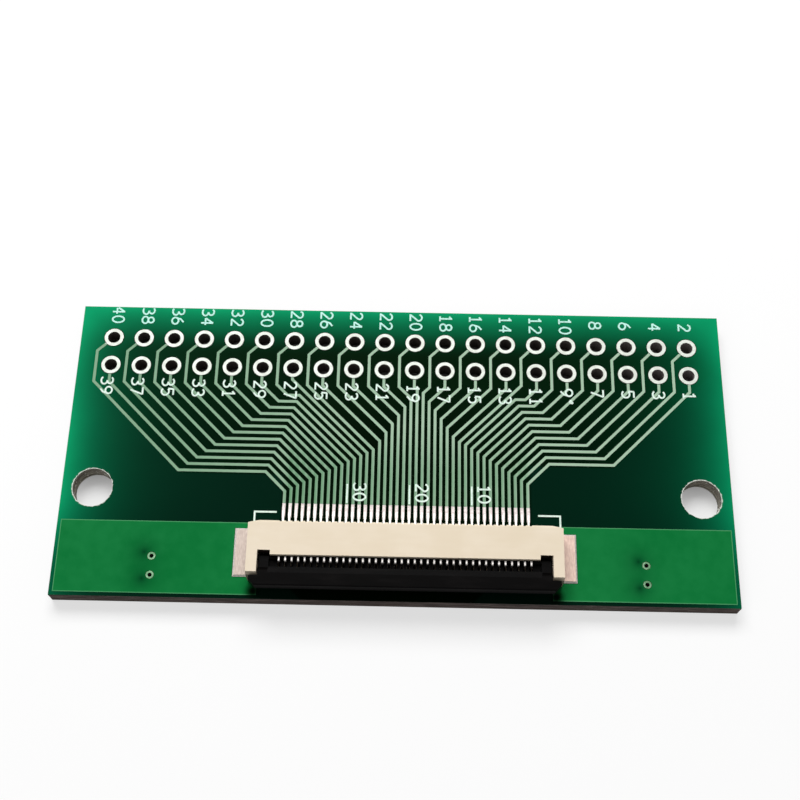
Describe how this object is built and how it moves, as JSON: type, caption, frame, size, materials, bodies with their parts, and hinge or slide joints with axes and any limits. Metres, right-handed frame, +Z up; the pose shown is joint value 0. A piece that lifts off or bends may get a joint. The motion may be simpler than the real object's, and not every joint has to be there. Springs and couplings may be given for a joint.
{
  "type": "flat cable breakout board",
  "caption": "Green breakout board with a flip-lock flat-cable socket, a fan of traces and two rows of plated header holes.",
  "frame": {"origin": "middle of the board's outline, on the surface that its underside rests on", "axes": "+X to the right along the two header rows, +Y from the socket towards the header rows, +Z up out of the component side"},
  "size_m": [0.0538, 0.0252, 0.0036],
  "materials": {
    "laminate": "sawn glass-epoxy edge",
    "solder_mask": "glossy green solder mask",
    "copper": "copper foil under the mask, tinned at the pads",
    "tin_plating": "bright tin",
    "housing_plastic": "moulded cream plastic",
    "lever_plastic": "moulded black plastic",
    "contact_metal": "stamped and tinned",
    "tab_metal": "matt tin",
    "solder": "reflowed solder"
  },
  "bodies": {
    "board": {"laminate_core": "laminate", "top_solder_mask": "solder_mask", "underside_solder_mask": "solder_mask", "header_holes_odd_row": "tin_plating", "header_holes_even_row": "tin_plating", "odd_pin_traces": "copper", "even_pin_traces": "copper", "odd_pin_underside_traces": "copper", "even_pin_underside_traces": "copper", "left_pour": "copper", "right_pour": "copper", "left_underside_pour": "copper", "right_underside_pour": "copper", "left_stitch_vias": "tin_plating", "right_stitch_vias": "tin_plating", "socket_housing": "housing_plastic", "contacts": "contact_metal", "left_solder_tab": "tab_metal", "right_solder_tab": "tab_metal", "contact_solder": "solder", "left_tab_solder": "solder", "right_tab_solder": "solder"},
    "lever": {"lock_lever": "lever_plastic"}
  },
  "joints": [
    {"name": "lever_flip", "type": "hinge", "parent": "board", "child": "lever", "pos_m": [0.00077, -0.00965, 0.00284], "axis": [-1, 0, 0], "range_deg": [0, 90]}
  ]
}
